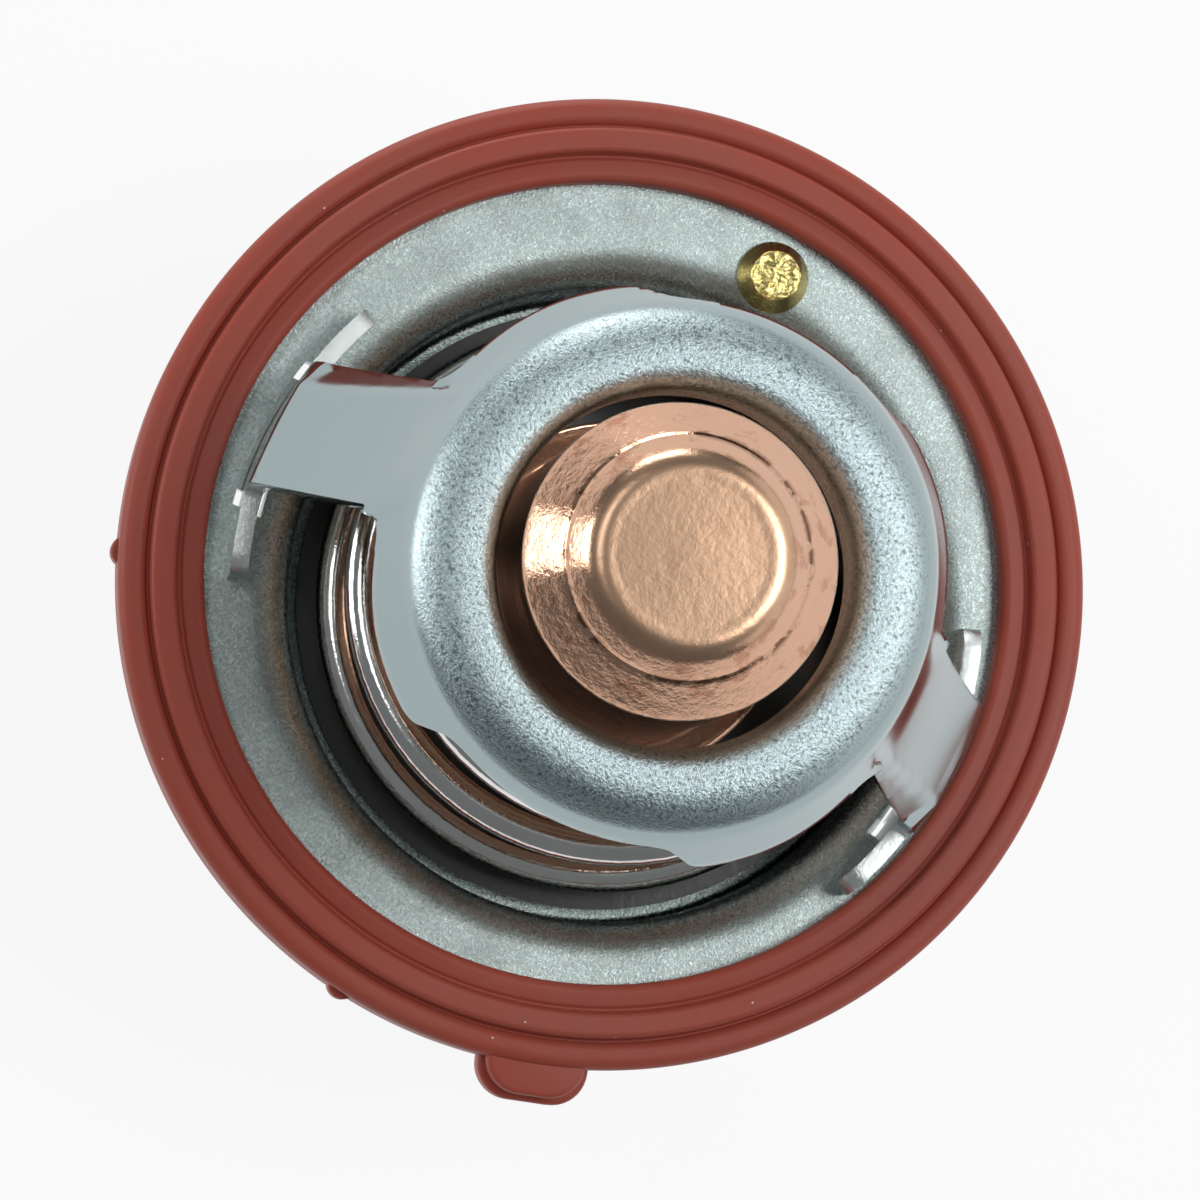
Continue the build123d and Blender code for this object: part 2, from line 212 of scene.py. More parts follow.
def filleted(points, radii):
    """Open path in radius and height with each inner corner rounded to its own radius."""
    corners = [Vector(p) for p in points]
    path = [corners[0]]
    for before, corner, after, radius in zip(corners, corners[1:], corners[2:], radii):
        back = (before - corner).normalized()
        ahead = (after - corner).normalized()
        turn = math.pi - back.angle(ahead)
        if radius <= 0 or turn < least_turn:
            path.append(corner)
            continue
        centre = corner + (back + ahead).normalized() * radius / math.cos(turn / 2)
        start = corner + back * radius * math.tan(turn / 2) - centre
        sweep = turn if back.cross(ahead) < 0 else -turn
        count = max(2, math.ceil(turn / arc_step))
        for i in range(count + 1):
            path.append(centre + Matrix.Rotation(sweep * i / count, 2) @ start)
    path.append(corners[-1])
    return path


def rounded_section(section):
    """Open path of a section whose corners give radius, height and rounding."""
    return filleted([(x, z) for x, z, _ in section], [r for _, _, r in section[1:-1]])


def filleted_loop(points, radii):
    """Closed outline with every corner rounded to its own radius."""
    rounded = filleted([*points, points[0], points[1]], [*radii[1:], radii[0]])
    return rounded[1:-1]


def divided(path, longest):
    """The same path with its long runs cut into shorter ones."""
    result = [path[0]]
    for a, b in zip(path, path[1:]):
        pieces = max(1, math.ceil((b - a).length / longest))
        result += [a.lerp(b, i / pieces) for i in range(1, pieces + 1)]
    return result


def lathe(bm, path, closed, steps=turn_steps, centre=(0, 0)):
    """Turn a path in radius and height about the axis into a grid of faces."""
    rows = []
    for radius, height in path:
        if radius < least_radius:
            rows.append([bm.verts.new((centre[0] * mm, centre[1] * mm, height * mm))])
            continue
        row = []
        for i in range(steps):
            angle = 2 * math.pi * i / steps
            x = centre[0] + radius * math.cos(angle)
            y = centre[1] + radius * math.sin(angle)
            row.append(bm.verts.new((x * mm, y * mm, height * mm)))
        rows.append(row)
    pairs = list(zip(rows, rows[1:]))
    if closed:
        pairs.append((rows[-1], rows[0]))
    for low, high in pairs:
        for i in range(steps):
            k = (i + 1) % steps
            corners = [low[i % len(low)], low[k % len(low)]]
            corners += [high[k % len(high)], high[i % len(high)]]
            corners = list(dict.fromkeys(corners))
            if len(corners) > 2:
                bm.faces.new(corners)


def inside(point, outline):
    """True where a flat point lies within a closed outline."""
    result = False
    for a, b in zip(outline, [*outline[1:], outline[0]]):
        if (a[1] > point[1]) != (b[1] > point[1]):
            if point[0] < a[0] + (point[1] - a[1]) * (b[0] - a[0]) / (b[1] - a[1]):
                result = not result
    return result


def stencil(bm, outline, across, half=None):
    """Cut a hole of this outline through the sheet. across is the axis that it is cut along."""
    u, v = {"x": (1, 2), "z": (0, 1)}[across]
    outline = [Vector((p[0] * mm, p[1] * mm)) for p in outline]
    margin = 0.02 * mm

    def wanted(face):
        return half is None or face.calc_center_median().x * half > 0

    for a, b in zip(outline, [*outline[1:], outline[0]]):
        if (b - a).length < least_side:
            continue
        low = (min(a.x, b.x) - margin, min(a.y, b.y) - margin)
        high = (max(a.x, b.x) + margin, max(a.y, b.y) + margin)
        faces = []
        for face in bm.faces:
            us = [c.co[u] for c in face.verts]
            vs = [c.co[v] for c in face.verts]
            beside = max(us) < low[0] or min(us) > high[0]
            if beside or max(vs) < low[1] or min(vs) > high[1]:
                continue
            if wanted(face):
                faces.append(face)
        place = [0, 0, 0]
        place[u], place[v] = a
        normal = [0, 0, 0]
        normal[u], normal[v] = (b - a).y, -(b - a).x
        near = {e for f in faces for e in f.edges} | {c for f in faces for c in f.verts}
        bmesh.ops.bisect_plane(
            bm,
            geom=[*faces, *near],
            dist=cut_tolerance,
            plane_co=place,
            plane_no=Vector(normal).normalized(),
        )
    gone = []
    for face in bm.faces:
        middle = face.calc_center_median()
        if wanted(face) and inside((middle[u], middle[v]), outline):
            gone.append(face)
    bmesh.ops.delete(bm, geom=gone, context="FACES")


def piece(name, bm, body, material, nodes=(), smooth=smooth_angle):
    """Make an object of the finished mesh, give it its finish, tie it to its body and hide the
    nodes that it stands in for.
    """
    bmesh.ops.recalc_face_normals(bm, faces=bm.faces)
    mesh = bpy.data.meshes.new(name)
    bm.to_mesh(mesh)
    bm.free()
    shade(mesh, smooth)
    made = bpy.data.objects.new(name, mesh)
    bpy.context.scene.collection.objects.link(made)
    made.data.materials.append(material)
    if body:
        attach(made, body)
    if nodes:
        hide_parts(*nodes)
    return made


def shade(mesh, angle):
    """Smooth shading that breaks at edges sharper than this angle, in degrees."""
    mesh.shade_smooth()
    mesh.set_sharp_from_angle(angle=math.radians(angle))


def applied(made):
    """Bake the modifiers of an object into its mesh."""
    bpy.context.view_layer.update()
    shape = made.evaluated_get(bpy.context.evaluated_depsgraph_get())
    mesh = bpy.data.meshes.new_from_object(shape)
    made.modifiers.clear()
    made.data = mesh
    shade(mesh, smooth_angle)


def thickened(made, thickness, edge):
    """Give a sheet its thickness and round off its cut edges."""
    solid = made.modifiers.new("sheet", "SOLIDIFY")
    solid.thickness = thickness * mm
    solid.offset = 0
    solid.use_even_offset = True
    solid.use_quality_normals = True
    round_off = made.modifiers.new("edge", "BEVEL")
    round_off.width = edge * mm
    round_off.segments = 2
    round_off.limit_method = "ANGLE"
    round_off.angle_limit = math.radians(50)
    applied(made)


# ------------------------------------------------------------------------------
# Material tools
# ------------------------------------------------------------------------------
def per_mm(value):
    """A texture scale given in waves per millimetre."""
    return value / mm


class Finish:
    """One procedural material, with short names for the nodes that it uses."""

    def __init__(self, name, colour, metallic, roughness):
        self.material = bpy.data.materials.new(name)
        self.material.use_nodes = True
        self.tree = self.material.node_tree
        self.shader = self.tree.nodes["Principled BSDF"]
        self.shader.inputs["Base Color"].default_value = (*colour, 1)
        self.shader.inputs["Metallic"].default_value = metallic
        self.shader.inputs["Roughness"].default_value = roughness

    def node(self, kind, **values):
        made = self.tree.nodes.new(kind)
        for key, value in values.items():
            setattr(made, key, value)
        return made

    def join(self, output, target):
        self.tree.links.new(output, target)

    def group(self, name, **values):
        made = self.node("ShaderNodeGroup", node_tree=bpy.data.node_groups[name])
        for key, value in values.items():
            made.inputs[key.replace("_", " ").capitalize()].default_value = value
        return made

    def grain(self, scale, contrast):
        """Height of a grain with this many waves a millimetre."""
        return self.group("Grain", scale=per_mm(scale), contrast=contrast).outputs["Height"]

    def patches(self, scale, low, high):
        """Mask of soft patches: the closer low and high, the harder their edge."""
        return self.group("Patches", scale=per_mm(scale), low=low, high=high).outputs["Mask"]

    def ramp(self, value, *stops):
        """Grey or colour by value. Each stop is a place from 0 to 1 and a level or colour."""
        made = self.node("ShaderNodeValToRGB")
        points = made.color_ramp.elements
        for point, (at, level) in zip(points, stops):
            point.position = at
            point.color = (*level, 1) if hasattr(level, "__len__") else (level, level, level, 1)
        self.join(value, made.inputs["Fac"])
        return made.outputs["Color"]

    def give(self, value, socket):
        """Link an output to a socket, or set a plain number or colour on it."""
        if hasattr(value, "is_linked"):
            self.join(value, socket)
        elif hasattr(value, "__len__"):
            socket.default_value = (*value, 1)
        else:
            socket.default_value = value

    def mix(self, amount, first, second):
        made = self.node("ShaderNodeMix", data_type="RGBA")
        colours = [socket for socket in made.inputs if socket.type == "RGBA"]
        self.give(amount, made.inputs[0])
        self.give(first, colours[0])
        self.give(second, colours[1])
        return next(socket for socket in made.outputs if socket.type == "RGBA")

    def math(self, kind, first, second):
        made = self.node("ShaderNodeMath", operation=kind)
        self.give(first, made.inputs[0])
        self.give(second, made.inputs[1])
        return made.outputs[0]

    def times(self, first, second):
        return self.math("MULTIPLY", first, second)

    def plus(self, first, second):
        return self.math("ADD", first, second)

    def bump(self, height, depth):
        """Raise the surface by up to this many millimetres where the height is 1."""
        made = self.node("ShaderNodeBump")
        made.inputs["Strength"].default_value = 1.0
        made.inputs["Distance"].default_value = depth * mm
        self.join(height, made.inputs["Height"])
        self.join(made.outputs["Normal"], self.shader.inputs["Normal"])

    def fade(self, value, low, high):
        """0 where the value is low and 1 where it is high, with a soft change between."""
        made = self.node("ShaderNodeMapRange", interpolation_type="SMOOTHSTEP")
        made.inputs["From Min"].default_value = low
        made.inputs["From Max"].default_value = high
        self.join(value, made.inputs["Value"])
        return made.outputs["Result"]

    def colour(self, output):
        self.join(output, self.shader.inputs["Base Color"])

    def roughness(self, output):
        self.join(output, self.shader.inputs["Roughness"])


def shared(name, inputs, outputs):
    """An empty node group with named value inputs and outputs."""
    tree = bpy.data.node_groups.new(name, "ShaderNodeTree")
    for key, value in inputs.items():
        socket = tree.interface.new_socket(key, in_out="INPUT", socket_type="NodeSocketFloat")
        socket.default_value = value
    for key in outputs:
        tree.interface.new_socket(key, in_out="OUTPUT", socket_type="NodeSocketFloat")
    return tree, tree.nodes.new("NodeGroupInput"), tree.nodes.new("NodeGroupOutput")


def group_node(tree, kind, links=(), **values):
    """A node with its inputs linked: each link is an output and the input that it goes to."""
    made = tree.nodes.new(kind)
    for key, value in values.items():
        setattr(made, key, value)
    for output, key in links:
        tree.links.new(output, made.inputs[key])
    return made


def group_place(tree):
    """Place on the object, for textures that stay with it when it moves."""
    return group_node(tree, "ShaderNodeTexCoord").outputs["Object"]


def group_math(tree, kind, first, second, **values):
    """A math node of an output and either a second output or a number."""
    made = group_node(tree, "ShaderNodeMath", [(first, 0)], operation=kind, **values)
    if hasattr(second, "is_linked"):
        tree.links.new(second, made.inputs[1])
    else:
        made.inputs[1].default_value = second
    return made.outputs[0]


def group_noise(tree, scale, detail, roughness):
    links = [(group_place(tree), "Vector"), (scale, "Scale")]
    made = group_node(tree, "ShaderNodeTexNoise", links)
    made.inputs["Detail"].default_value = detail
    made.inputs["Roughness"].default_value = roughness
    return made.outputs["Fac"]


def make_grain():
    """Fine even grain of blasted or plated metal and of moulded rubber."""
    values = {"Scale": per_mm(4), "Contrast": 1.0}
    tree, given, result = shared("Grain", values, ["Height"])
    fine = group_noise(tree, given.outputs["Scale"], 4, 0.65)
    centred = group_math(tree, "SUBTRACT", fine, 0.5)
    scaled = group_math(tree, "MULTIPLY", centred, given.outputs["Contrast"])
    back = group_math(tree, "ADD", scaled, 0.5, use_clamp=True)
    tree.links.new(back, result.inputs["Height"])


def make_specks():
    """Sparse small specks, such as dust on rubber."""
    values = {"Scale": per_mm(1.2), "Size": 0.12, "Share": 0.3}
    tree, given, result = shared("Specks", values, ["Mask"])
    links = [(group_place(tree), "Vector"), (given.outputs["Scale"], "Scale")]
    cells = group_node(tree, "ShaderNodeTexVoronoi", links)
    small = group_math(tree, "LESS_THAN", cells.outputs["Distance"], given.outputs["Size"])
    parts = group_node(tree, "ShaderNodeSeparateColor", [(cells.outputs["Color"], 0)])
    chosen = group_math(tree, "LESS_THAN", parts.outputs[0], given.outputs["Share"])
    tree.links.new(group_math(tree, "MULTIPLY", small, chosen), result.inputs["Mask"])


def make_patches():
    """Soft uneven patches, such as stains, handling marks and thin plating."""
    values = {"Scale": per_mm(0.2), "Low": 0.45, "High": 0.62}
    tree, given, result = shared("Patches", values, ["Mask"])
    wide = group_noise(tree, given.outputs["Scale"], 6, 0.6)
    links = [
        (wide, "Value"),
        (given.outputs["Low"], "From Min"),
        (given.outputs["High"], "From Max"),
    ]
    fit = group_node(tree, "ShaderNodeMapRange", links, interpolation_type="SMOOTHSTEP")
    tree.links.new(fit.outputs["Result"], result.inputs["Mask"])


def make_radius():
    """Radius and height on the part in millimetres, for marks left by turning and pressing."""
    tree, _, result = shared("Turned radius", {}, ["Radius", "Height"])
    parts = group_node(tree, "ShaderNodeSeparateXYZ", [(group_place(tree), 0)]).outputs
    flat = group_node(tree, "ShaderNodeCombineXYZ", [(parts["X"], "X"), (parts["Y"], "Y")])
    length = group_node(tree, "ShaderNodeVectorMath", [(flat.outputs[0], 0)], operation="LENGTH")
    for metres, key in ((length.outputs["Value"], "Radius"), (parts["Z"], "Height")):
        tree.links.new(group_math(tree, "DIVIDE", metres, mm), result.inputs[key])


make_grain()
make_specks()
make_patches()
make_radius()


# ------------------------------------------------------------------------------
# Finishes
# ------------------------------------------------------------------------------
def plated_steel(name, base, dark, roughness, grain, depth):
    """Zinc plated sheet with a fine matt grain and duller patches."""
    it = Finish(name, base, 1.0, roughness)
    fine = it.grain(grain, 2.0)
    dull = it.mix(it.times(it.patches(0.35, 0.42, 0.66), 0.45), base, dark)
    it.colour(it.mix(it.ramp(fine, (0.2, 0.35), (0.6, 0.0)), dull, dark))
    it.roughness(it.ramp(fine, (0.2, roughness + 0.1), (0.8, roughness - 0.06)))
    it.bump(it.grain(grain * 1.5, 1.0), depth)
    return it.material


def lower_frame_finish():
    """Zinc plated stamping: grained on its ring and wings, smooth as a mirror on its legs. The legs
    and skirt are written darker as painted shade, and the wings near white as a painted highlight.
    """
    base = (0.47, 0.57, 0.585)
    worn = (0.4, 0.45, 0.46)
    pit = (0.16, 0.18, 0.19)
    # painted shade: the legs and skirt are the same zinc as the ring, written darker
    leg = (0.34, 0.41, 0.42)
    # painted highlight: the wings, and the feet and tongues below wing height, are written near
    # white
    wing_highlight = (0.9, 0.95, 0.93)
    ring_edge = (14.6, 13.2)
    wing_edge = (4.6, 4.3)
    it = Finish("zinc stamping", base, 1.0, 0.2)
    turned = it.group("Turned radius").outputs
    on_ring = it.fade(turned["Radius"], *ring_edge)
    on_wing = it.fade(turned["Height"], *wing_edge)
    dull = it.mix(it.times(it.patches(0.4, 0.42, 0.7), 0.3), base, worn)
    pits = it.times(it.ramp(it.grain(5, 2.6), (0.15, 0.7), (0.45, 0.0)), on_ring)
    # legs and skirt in painted shade, wings and feet in painted highlight
    shaded_legs_lit_wings = it.mix(it.times(on_wing, 0.9), leg, wing_highlight)
    it.colour(it.mix(on_ring, shaded_legs_lit_wings, it.mix(pits, dull, pit)))
    matt = it.math("MAXIMUM", on_ring, on_wing)
    it.roughness(it.ramp(matt, (0.0, 0.12), (1.0, 0.19)))
    height = it.plus(it.times(it.grain(7, 1.0), 0.6), it.times(it.grain(1.8, 0.8), 0.4))
    it.bump(it.times(height, it.plus(it.times(matt, 0.95), 0.05)), 0.085)
    return it.material


def bright_steel(name, base, roughness):
    """Smooth steel that keeps faint rolling and handling marks."""
    it = Finish(name, base, 1.0, roughness)
    worn = it.patches(0.5, 0.4, 0.7)
    it.colour(it.mix(it.times(worn, 0.3), base, tuple(c * 0.8 for c in base)))
    it.roughness(it.ramp(worn, (0.0, roughness), (1.0, roughness + 0.08)))
    it.bump(it.grain(1.6, 1.6), 0.012)
    return it.material


def copper_finish():
    """Drawn copper: bright and dented, with dark oxide in the ring that is scored round its end."""
    base = (0.68, 0.41, 0.28)
    stained = (0.42, 0.17, 0.1)
    end = (0.62, 0.4, 0.26)
    oxide = (0.2, 0.09, 0.05)
    it = Finish("drawn copper", base, 1.0, 0.2)
    radius = it.group("Turned radius").outputs["Radius"]
    off_score = it.math("ABSOLUTE", it.math("SUBTRACT", radius, score_radius + 0.1), 0.0)
    scored = it.times(it.ramp(off_score, (0.0, 1.0), (0.32, 0.0)), it.patches(0.9, 0.5, 0.56))
    tarnish = it.mix(it.times(it.patches(0.5, 0.56, 0.66), 0.55), base, stained)
    on_end = it.fade(radius, 6.0, 5.0)
    ended = it.mix(it.times(on_end, 0.8), tarnish, end)
    it.colour(it.mix(scored, ended, oxide))
    it.roughness(it.ramp(on_end, (0.0, 0.13), (1.0, 0.3)))
    height = it.plus(it.times(it.grain(2.0, 1.6), 0.4), it.times(it.grain(0.55, 1.5), 0.6))
    it.bump(it.times(height, it.ramp(on_end, (0.0, 0.6), (1.0, 0.3))), 0.07)
    return it.material


def brass_finish():
    """Turned brass, darker in the hollows of its grain."""
    it = Finish("turned brass", (0.72, 0.6, 0.22), 1.0, 0.25)
    fine = it.grain(5, 1.6)
    it.colour(it.ramp(fine, (0.2, (0.5, 0.38, 0.1)), (0.7, (0.78, 0.66, 0.28))))
    it.bump(fine, 0.02)
    return it.material


def seal_rubber():
    """Moulded red silicone with a satin skin, grey bloom and a little dust."""
    base = (0.36, 0.066, 0.042)
    bloom = (0.3, 0.085, 0.062)
    dust = (0.75, 0.68, 0.62)
    it = Finish("red silicone", base, 0.0, 0.45)
    it.shader.inputs["Specular IOR Level"].default_value = 0.3
    specks = it.group("Specks", scale=per_mm(0.8), size=0.05, share=0.12).outputs["Mask"]
    skin = it.mix(it.times(it.patches(0.12, 0.35, 0.75), 0.5), base, bloom)
    it.colour(it.mix(it.times(specks, 0.8), skin, dust))
    it.bump(it.grain(6, 1.5), 0.01)
    return it.material


def plain_finish(name, base, roughness):
    """Small or inner piece that isn't metal: one colour broken by fine grain."""
    it = Finish(name, base, 0.0, roughness)
    fine = it.grain(3, 1.6)
    it.colour(it.mix(fine, tuple(c * 0.8 for c in base), base))
    it.bump(fine, 0.01)
    return it.material


flange_steel = plated_steel(
    "matt zinc sheet", (0.42, 0.49, 0.475), (0.26, 0.3, 0.29), roughness=0.24, grain=4.5, depth=0.04
)
frame_steel = lower_frame_finish()
spring_steel = bright_steel("polished wire", (0.78, 0.78, 0.76), 0.1)
# painted shade: the valve plate deep in the throat is written near black
shaded_valve_steel = bright_steel("valve sheet in painted shade", (0.07, 0.07, 0.068), 0.35)
rod_steel = bright_steel("ground rod", (0.7, 0.7, 0.7), 0.12)
copper = copper_finish()
brass = brass_finish()
red_rubber = seal_rubber()
black_rubber = plain_finish("black rubber", (0.02, 0.02, 0.02), 0.6)
white_ring = plain_finish("white backup ring", (0.8, 0.8, 0.78), 0.5)
wax = plain_finish("pressed wax", (0.45, 0.3, 0.15), 0.7)

node_finish = {
    "flange": flange_steel,
    "lower_frame": frame_steel,
    "bridge": frame_steel,
    "rod": rod_steel,
    "guide": brass,
    "rubber_sleeve": black_rubber,
    "wax_charge": wax,
    "backup_ring": white_ring,
    "rod_seal": black_rubber,
    "seal_washer": brass,
    "valve_disc": shaded_valve_steel,
    "valve_seal": black_rubber,
    "valve_retainer": rod_steel,
    "return_spring": spring_steel,
    "capsule_cup": copper,
    "seal_ring": red_rubber,
    "jiggle_pin": brass,
    "jiggle_weight": brass,
}
for node, finish in node_finish.items():
    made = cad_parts[node]
    made.data.materials.clear()
    made.data.materials.append(finish)


# ------------------------------------------------------------------------------
# Flange and lower frame: bent sheet, stencilled and given its thickness
# ------------------------------------------------------------------------------
def circle(radius, steps, centre=(0, 0)):
    """Flat points of a circle."""
    angles = [2 * math.pi * i / steps for i in range(steps)]
    return [(centre[0] + radius * math.cos(a), centre[1] + radius * math.sin(a)) for a in angles]


def slot_outline(side, inner, outer):
    """Arched slot for a tongue, between two radii, shifted to where the feet lean."""
    steps = 12
    reach = [slot_length / 2 * (1 - 2 * i / steps) for i in range(steps + 1)]
    far = [(side * math.sqrt(outer**2 - y**2), y) for y in reach]
    near = [(side * math.sqrt(inner**2 - y**2), y) for y in reversed(reach)]
    return [(x + foot_lean[0], y + foot_lean[1]) for x, y in [*far, *near]]


def make_flange():
    wall = throat_radius + flange_sheet / 2
    floor = seat_face - flange_sheet / 2
    path = filleted(
        [(flange_radius, 0), (wall, 0), (wall, floor), (seat_hole_radius, floor)],
        [throat_shoulder - flange_sheet / 2, throat_corner + flange_sheet / 2],
    )
    bm = bmesh.new()
    lathe(bm, divided(path, longest=0.8), closed=False)
    inner = foot_radius - frame_sheet / 2 - slot_play
    outer = foot_radius + frame_sheet / 2 + slot_play
    for side in (-1, 1):
        stencil(bm, slot_outline(side, inner, outer), "z", half=side)
    stencil(bm, circle(pin_hole_radius, 28, (0, pin_radius_place)), "z")
    made = piece("flange_sheet", bm, "frame", flange_steel, ["flange"])
    thickened(made, flange_sheet, edge=0.1)


def smooth_step(value, low, high):
    """0 below low, 1 above high, and a soft change between them."""
    t = min(max((value - low) / (high - low), 0), 1)
    return t * t * (3 - 2 * t)


def shape_legs(bm, bend, wide):
    """Press each leg flat, and roll down the one edge that the die drags."""
    for vert in bm.verts:
        x, y, z = (c / mm for c in vert.co)
        radius = math.hypot(x, y)
        if radius < ring_shoulder_radius or abs(y) > leg_width / 2 + 0.05:
            continue
        below = smooth_step(z, bend - leg_flat_below_bend, bend + leg_flat_above_bend)
        above = smooth_step(z, wide - leg_flat_below_skirt, ring_top - leg_flat_below_top)
        along = below * (1 - above)
        target = math.sqrt(radius**2 - leg_flat_half**2)
        if x * y < 0:
            start = leg_roll_low + (leg_roll_high - leg_roll_low) * smooth_step(z, bend, wide)
            over = max(abs(y) - start, 0)
            target -= leg_roll_slope * over * smooth_step(over, -0.1, 0.25)
        vert.co.x = math.copysign(abs(x) + (target - abs(x)) * along, x) * mm


def lean_frame(bm, bend, crest):
    """Bow the legs in a little, and lean the feet to where they were clinched."""
    for vert in bm.verts:
        x, y, z = (c / mm for c in vert.co)
        radius = math.hypot(x, y)
        low = min(max((crest - z) / (crest - bend), 0), 1)
        beside = smooth_step(abs(y), leg_width / 2, leg_bow_reach)
        on_leg = smooth_step(radius, *leg_bow_radii) * (1 - beside)
        bow = 1 - leg_bow * math.sin(math.pi * low) * on_leg / radius
        lean = (frame_shift + (foot_lean[0] - frame_shift) * low, foot_lean[1] * low)
        vert.co.x = (x * bow + lean[0]) * mm
        vert.co.y = (y * bow + lean[1]) * mm


def make_lower_frame():
    """One stamping: the legs and the skirt are what is left of a turned sheet after stencilling."""
    crest = ring_top - frame_sheet / 2
    lip = ring_hole_radius + frame_sheet / 2
    bend = flange_face + foot_height
    wing_top = flange_face + wing_height
    tongue = -flange_face - tongue_clearance - frame_sheet / 2
    slope = (foot_radius - ring_shoulder_radius) / (crest - bend)
    path = filleted(
        [
            (lip, ring_top - ring_lip_depth),
            (lip, crest),
            (ring_shoulder_radius, crest),
            (foot_radius, bend),
            (foot_radius, tongue),
            (foot_radius + frame_sheet / 2 + tongue_reach, tongue),
        ],
        [
            ring_inner_bend - frame_sheet / 2,
            ring_outer_bend - frame_sheet / 2,
            foot_bend,
            tongue_bend,
        ],
    )
    bm = bmesh.new()
    lathe(bm, divided(path, longest=0.7), closed=False)
    wide = ring_top - wide_skirt_depth
    short = ring_top - short_skirt_depth
    edge_radius = ring_shoulder_radius + slope * (crest - wide)
    skirt_half = edge_radius * math.sin(math.radians(wide_skirt_half_angle))
    half = leg_width / 2
    far = 2 * foot_radius
    outline = filleted_loop(
        [
            (half, wing_top),
            (half, wide),
            (skirt_half, wide),
            (skirt_half, short),
            (far, short),
            (far, -far),
            (tongue_width / 2, -far),
            (tongue_width / 2, flange_face),
            (wing_half_width, flange_face),
            (wing_half_width, wing_top),
        ],
        [
            wing_root_fillet,
            leg_root_fillet,
            skirt_corner,
            skirt_corner,
            0,
            0,
            0,
            tongue_corner,
            tongue_corner,
            wing_corner,
        ],
    )
    for side in (1, -1):
        mirrored = [(y * side, z) for y, z in outline]
        for half_space in (-1, 1):
            stencil(bm, mirrored, "x", half=half_space)
    shape_legs(bm, bend, wide)
    lean_frame(bm, bend, crest)
    made = piece("lower_frame_sheet", bm, "frame", frame_steel, ["lower_frame"])
    thickened(made, frame_sheet, edge=0.14)


# ------------------------------------------------------------------------------
# Seal, capsule, spring and pin
# ------------------------------------------------------------------------------
def add_block(bm, outline, low, high, edge):
    """Upright block of a flat outline in millimetres, with rounded upper and lower edges."""
    made = bmesh.new()
    face = made.faces.new([made.verts.new((p[0] * mm, p[1] * mm, low * mm)) for p in outline])
    lifted = bmesh.ops.extrude_face_region(made, geom=[face])
    tops = [v for v in lifted["geom"] if isinstance(v, bmesh.types.BMVert)]
    bmesh.ops.translate(made, vec=(0, 0, (high - low) * mm), verts=tops)
    bmesh.ops.recalc_face_normals(made, faces=made.faces)
    rims = [e for e in made.edges if abs(e.verts[0].co.z - e.verts[1].co.z) < 1e-7]
    bmesh.ops.bevel(made, geom=rims, offset=edge * mm, segments=4, profile=0.5, affect="EDGES")
    mesh = bpy.data.meshes.new("block")
    made.to_mesh(mesh)
    made.free()
    bm.from_mesh(mesh)
    bpy.data.meshes.remove(mesh)


def about_seal(points, angle):
    """Points given outward and sideways from the seal's centre, turned to an angle."""
    turned = [Matrix.Rotation(angle, 2) @ Vector(p) for p in points]
    return [p + Vector(seal_centre) for p in turned]


def add_tab(bm):
    """Moulding tab: a thick tongue on a slightly larger thin one."""
    angle = math.radians(seal_tab_angle)
    root = seal_radius - seal_tab_root
    step = seal_tab_step
    for grow, top in ((0, seal_tab_top), (step, step)):
        half = seal_tab_width / 2 + grow
        end = seal_radius + seal_tab_reach + grow - step
        corners = [(root, -half), (end, -half), (end, half), (root, half)]
        points = filleted_loop(corners, [0, seal_tab_corner, seal_tab_corner, 0])
        add_block(bm, about_seal(points, angle), -seal_tab_top, top, edge=0.3)


def add_nib(bm, angle):
    """Small round nib left by the mould."""
    middle = seal_radius + seal_nib_reach - seal_nib_radius
    points = circle(seal_nib_radius, 32, (middle, 0))
    top = seal_nib_half_height
    add_block(bm, about_seal(points, angle), -top, top, edge=0.2)


def make_seal():
    """Each corner of the section is its radius, its height and its own rounding."""
    groove = seal_groove_level
    bead = seal_bead_height
    band = seal_band_height
    section = [
        (flange_radius, 0, 0),
        (flange_radius, flange_face, 0),
        (seal_front_lip_radius, flange_face, 0.1),
        (seal_front_lip_radius, seal_lip_height, 0.5),
        (seal_band_inner - seal_groove_width, seal_lip_height - seal_lip_fall, 0.25),
        (seal_band_inner, groove + seal_inner_groove_rise, 0.12),
        (seal_band_inner + seal_band_inner_draft, band, 0.3),
        (seal_band_outer - seal_band_outer_draft, band, 0.35),
        (seal_band_outer, groove, 0.1),
        (seal_band_outer + seal_groove_width, bead, 0.6),
        (seal_radius, bead, 0.75),
        (seal_radius, -bead, 0.75),
        (seal_band_outer + seal_groove_width, -bead, 0.6),
        (seal_band_outer, -groove, 0.1),
        (seal_band_outer - seal_band_outer_draft, -band, 0.35),
        (seal_band_inner + seal_band_inner_draft, -band, 0.3),
        (seal_band_inner, -groove, 0.12),
        (seal_back_lip_radius, -groove, 0.2),
        (seal_back_lip_radius, -flange_face, 0.1),
        (flange_radius, -flange_face, 0),
    ]
    outline = filleted_loop([(x, z) for x, z, _ in section], [r for _, _, r in section])
    bm = bmesh.new()
    lathe(bm, outline, closed=True, steps=420, centre=seal_centre)
    add_tab(bm)
    for angle in seal_nib_angles:
        add_nib(bm, math.radians(angle))
    piece("rim_seal", bm, "frame", red_rubber, ["seal_ring"])


